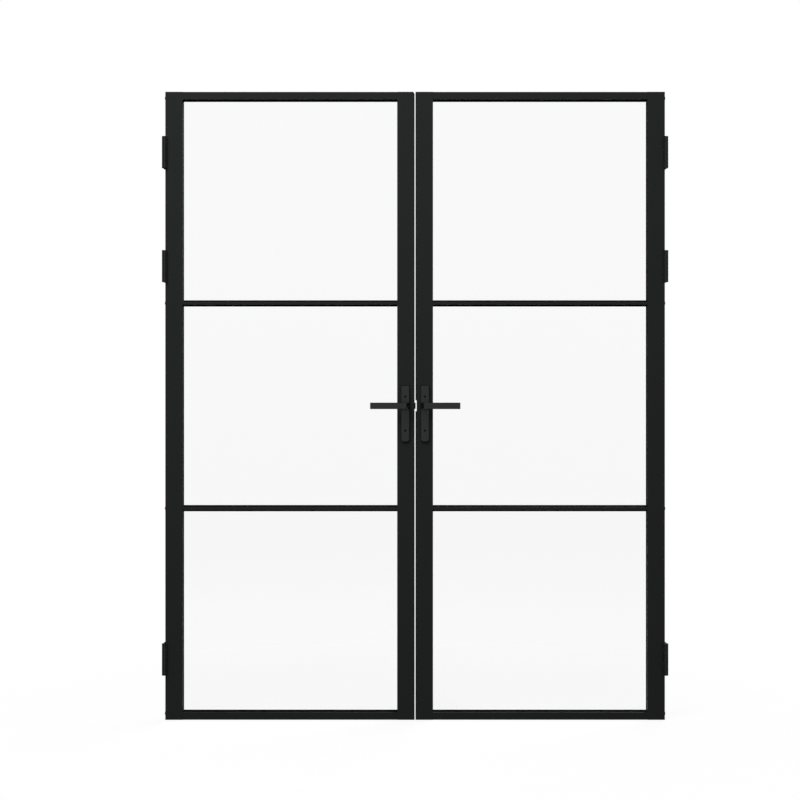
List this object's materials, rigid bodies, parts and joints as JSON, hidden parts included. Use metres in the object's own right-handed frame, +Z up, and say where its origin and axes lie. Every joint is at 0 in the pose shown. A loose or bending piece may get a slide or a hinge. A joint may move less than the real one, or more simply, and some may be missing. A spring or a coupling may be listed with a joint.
{
  "type": "french doors",
  "caption": "French doors in black steel-look aluminium: glazed leaves with slim glazing bars that swing on butt hinges, with lever handles and a sprung latch where they meet.",
  "frame": {"origin": "middle of the gap between the leaves, half way through their depth, at their bottom edge", "axes": "+X to the right seen from the front, +Y from the front to the back, +Z up"},
  "size_m": [1.622, 0.152, 2.015],
  "materials": {
    "frame_coat": "matt black powder coat on extruded aluminium",
    "pane_glass": "clear toughened glass",
    "gasket_rubber": "black extruded rubber",
    "hardware_coat": "satin black coating",
    "screw_black": "black oxide",
    "latch_plating": "black-plated steel",
    "lock_steel": "bright zinc-plated steel",
    "plug_plastic": "moulded black nylon"
  },
  "bodies": {
    "jamb_hinges": {"hinge_pins": "hardware_coat", "left_bottom_jamb_flap": "hardware_coat", "left_middle_jamb_flap": "hardware_coat", "left_top_jamb_flap": "hardware_coat", "right_bottom_jamb_flap": "hardware_coat", "right_middle_jamb_flap": "hardware_coat", "right_top_jamb_flap": "hardware_coat"},
    "left_leaf": {"left_bottom_hinge_flap": "hardware_coat", "left_bottom_rail": "frame_coat", "left_front_plate": "hardware_coat", "left_glazing_gaskets": "gasket_rubber", "left_hinge_backing_plates": "lock_steel", "left_hinge_screws": "screw_black", "left_hinge_stile": "frame_coat", "left_latch_case": "latch_plating", "left_latch_spring": "lock_steel", "left_lower_bar": "frame_coat", "left_lower_glass": "pane_glass", "left_meeting_edge_screws": "screw_black", "left_meeting_stile": "frame_coat", "left_middle_glass": "pane_glass", "left_middle_hinge_flap": "hardware_coat", "left_outer_edge_screws": "screw_black", "left_plate_screws": "screw_black", "left_rear_plate": "hardware_coat", "left_stile_plugs": "plug_plastic", "left_top_hinge_flap": "hardware_coat", "left_top_rail": "frame_coat", "left_upper_bar": "frame_coat", "left_upper_glass": "pane_glass"},
    "right_leaf": {"right_bottom_hinge_flap": "hardware_coat", "right_bottom_rail": "frame_coat", "right_front_plate": "hardware_coat", "right_glazing_gaskets": "gasket_rubber", "right_hinge_backing_plates": "lock_steel", "right_hinge_screws": "screw_black", "right_hinge_stile": "frame_coat", "right_lower_bar": "frame_coat", "right_lower_glass": "pane_glass", "right_meeting_edge_screws": "screw_black", "right_meeting_stile": "frame_coat", "right_middle_glass": "pane_glass", "right_middle_hinge_flap": "hardware_coat", "right_outer_edge_screws": "screw_black", "right_plate_screws": "screw_black", "right_rear_plate": "hardware_coat", "right_stile_plugs": "plug_plastic", "right_strike_plate": "latch_plating", "right_top_hinge_flap": "hardware_coat", "right_top_rail": "frame_coat", "right_upper_bar": "frame_coat", "right_upper_glass": "pane_glass"},
    "left_lever": {"left_front_lever": "hardware_coat", "left_latch_follower": "lock_steel", "left_rear_lever": "hardware_coat", "left_spindle": "lock_steel"},
    "right_lever": {"right_front_lever": "hardware_coat", "right_rear_lever": "hardware_coat", "right_spindle": "lock_steel"},
    "latch_bolt": {"left_latch_bolt": "latch_plating"}
  },
  "joints": [
    {"name": "left_leaf_swing", "type": "hinge", "parent": "jamb_hinges", "child": "left_leaf", "pos_m": [-0.803, -0.0285, 0], "axis": [0, 0, -1], "range_deg": [0, 170]},
    {"name": "right_leaf_swing", "type": "hinge", "parent": "jamb_hinges", "child": "right_leaf", "pos_m": [0.803, -0.0285, 0], "axis": [0, 0, 1], "range_deg": [0, 170]},
    {"name": "left_lever_turn", "type": "hinge", "parent": "left_leaf", "child": "left_lever", "pos_m": [-0.0315, 0, 1.0075], "axis": [0, -1, 0], "range_deg": [0, 30], "stiffness_Nm_per_rad": 1.5, "springref_deg": -57.3},
    {"name": "right_lever_turn", "type": "hinge", "parent": "right_leaf", "child": "right_lever", "pos_m": [0.0315, 0, 1.0075], "axis": [0, 1, 0], "range_deg": [0, 30], "stiffness_Nm_per_rad": 1.5, "springref_deg": -57.3},
    {"name": "latch_slide", "type": "slide", "parent": "left_leaf", "child": "latch_bolt", "axis": [1, 0, 0], "range_m": [-0.004, 0], "deforming": ["left_latch_spring"]}
  ],
  "couplings": [
    {"joint": "latch_slide", "follows": "left_lever_turn", "m_per_rad": -0.00763}
  ]
}
